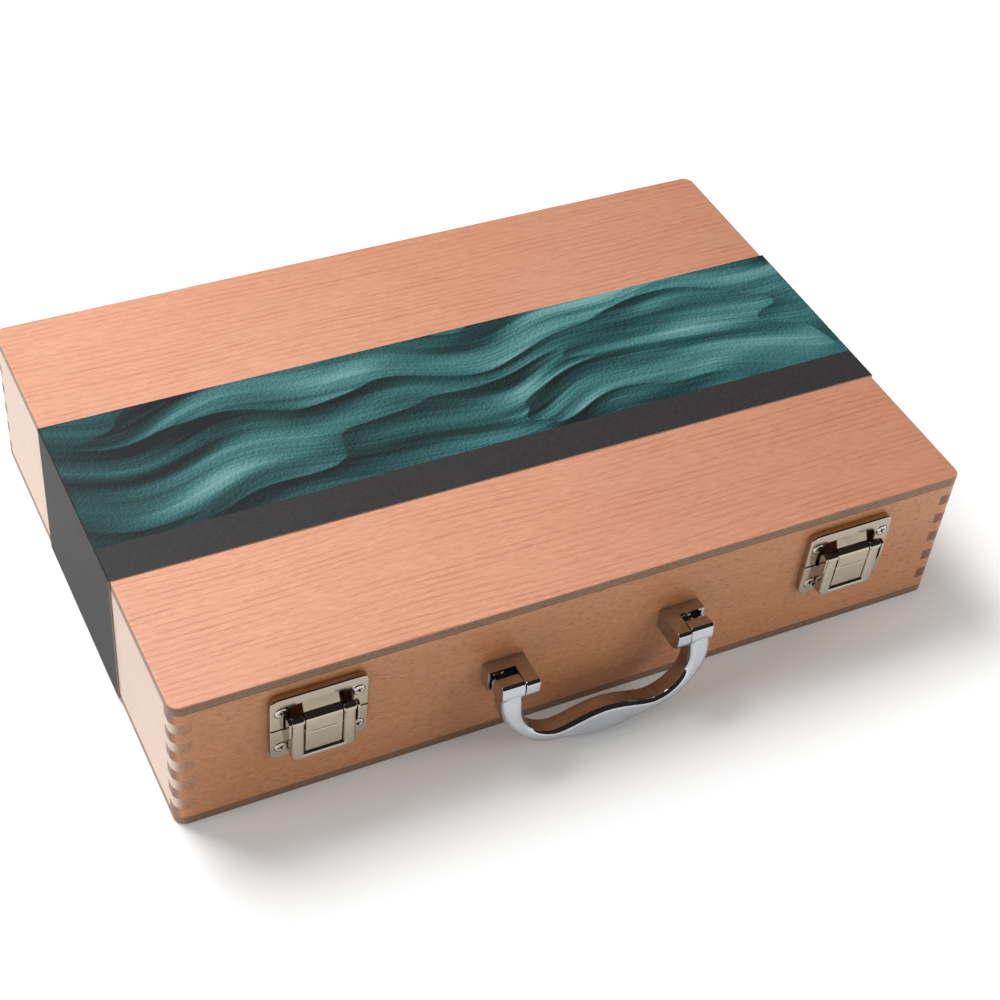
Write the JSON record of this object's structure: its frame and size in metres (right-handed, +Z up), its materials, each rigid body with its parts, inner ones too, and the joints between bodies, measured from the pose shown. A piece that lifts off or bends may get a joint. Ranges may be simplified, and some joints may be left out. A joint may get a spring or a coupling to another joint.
{
  "type": "wooden oil paint box",
  "caption": "Shallow hinged wooden paint box with finger-jointed boards, plywood panels, two toggle latches, a swinging chrome handle, dividers, a lid palette and a card band.",
  "frame": {"origin": "centre of the flat underside, where the box rests on a table", "axes": "+X along the front to the right, +Y from the front to the hinges at the back, +Z up"},
  "size_m": [0.4016, 0.2972, 0.0795],
  "materials": {
    "beech_board": "satin varnish",
    "veneered_plywood": "satin varnish",
    "thin_wood": "sanded",
    "palette_wood": "oiled",
    "nickel_plate": "satin nickel",
    "screw_nickel": "bright nickel",
    "chrome": "polished",
    "printed_card": "matt print"
  },
  "bodies": {
    "base": {"back_divider": "thin_wood", "base_back_board": "beech_board", "base_bottom_panel": "veneered_plywood", "base_front_board": "beech_board", "base_left_board": "beech_board", "base_right_board": "beech_board", "front_divider_left": "thin_wood", "front_divider_right": "thin_wood", "handle_pins": "chrome", "handle_post_left": "chrome", "handle_post_right": "chrome", "handle_screws": "screw_nickel", "hinge_base_screws": "screw_nickel", "hinge_left_base_leaf": "nickel_plate", "hinge_left_pin": "nickel_plate", "hinge_right_base_leaf": "nickel_plate", "hinge_right_pin": "nickel_plate", "latch_keeper_screws": "screw_nickel", "latch_left_keeper_plate": "nickel_plate", "latch_left_lever_pins": "nickel_plate", "latch_right_keeper_plate": "nickel_plate", "latch_right_lever_pins": "nickel_plate", "long_divider": "thin_wood"},
    "lid": {"hinge_left_lid_leaf": "nickel_plate", "hinge_lid_screws": "screw_nickel", "hinge_right_lid_leaf": "nickel_plate", "latch_catch_screws": "screw_nickel", "latch_left_catch_plate": "nickel_plate", "latch_right_catch_plate": "nickel_plate", "lid_back_board": "beech_board", "lid_front_board": "beech_board", "lid_left_board": "beech_board", "lid_right_board": "beech_board", "lid_top_panel": "veneered_plywood", "palette": "palette_wood", "palette_rail_back": "thin_wood", "palette_rail_front": "thin_wood", "turn_button_screws": "screw_nickel"},
    "band": {"card_band": "printed_card"},
    "left_lever": {"latch_left_lever": "nickel_plate", "latch_left_tongue_pin": "nickel_plate"},
    "left_tongue": {"latch_left_tongue": "nickel_plate"},
    "right_lever": {"latch_right_lever": "nickel_plate", "latch_right_tongue_pin": "nickel_plate"},
    "right_tongue": {"latch_right_tongue": "nickel_plate"},
    "handle": {"handle_bar": "chrome"},
    "front_button": {"turn_button_front": "palette_wood"},
    "back_button": {"turn_button_back": "palette_wood"}
  },
  "joints": [
    {"name": "lid_hinge", "type": "hinge", "parent": "base", "child": "lid", "pos_m": [0, 0.136, 0.05], "axis": [-1, 0, 0], "range_deg": [0, 105]},
    {"name": "band_slide", "type": "slide", "parent": "lid", "child": "band", "axis": [0, -1, 0], "range_m": [-0.19, 0.19]},
    {"name": "handle_swing", "type": "hinge", "parent": "base", "child": "handle", "pos_m": [0.0013, -0.1464, 0.0425], "axis": [-1, 0, 0], "range_deg": [-16, 100]},
    {"name": "front_button_turn", "type": "hinge", "parent": "lid", "child": "front_button", "pos_m": [0, -0.1147, 0.055], "axis": [0, 0, 1], "range_deg": [-90, 90]},
    {"name": "back_button_turn", "type": "hinge", "parent": "lid", "child": "back_button", "pos_m": [0, 0.1147, 0.055], "axis": [0, 0, 1], "range_deg": [-90, 90]},
    {"name": "left_lever_pivot", "type": "hinge", "parent": "base", "child": "left_lever", "pos_m": [-0.1347, -0.1404, 0.057], "axis": [-1, 0, 0], "range_deg": [0, 150]},
    {"name": "left_tongue_pivot", "type": "hinge", "parent": "left_lever", "child": "left_tongue", "pos_m": [-0.1347, -0.13995, 0.0495], "axis": [-1, 0, 0], "range_deg": [-160, 0]},
    {"name": "right_lever_pivot", "type": "hinge", "parent": "base", "child": "right_lever", "pos_m": [0.1373, -0.1404, 0.057], "axis": [-1, 0, 0], "range_deg": [0, 150]},
    {"name": "right_tongue_pivot", "type": "hinge", "parent": "right_lever", "child": "right_tongue", "pos_m": [0.1373, -0.13995, 0.0495], "axis": [-1, 0, 0], "range_deg": [-160, 0]}
  ],
  "couplings": [
    {"joint": "left_tongue_pivot", "follows": "left_lever_pivot", "ratio": -1},
    {"joint": "right_tongue_pivot", "follows": "right_lever_pivot", "ratio": -1}
  ]
}
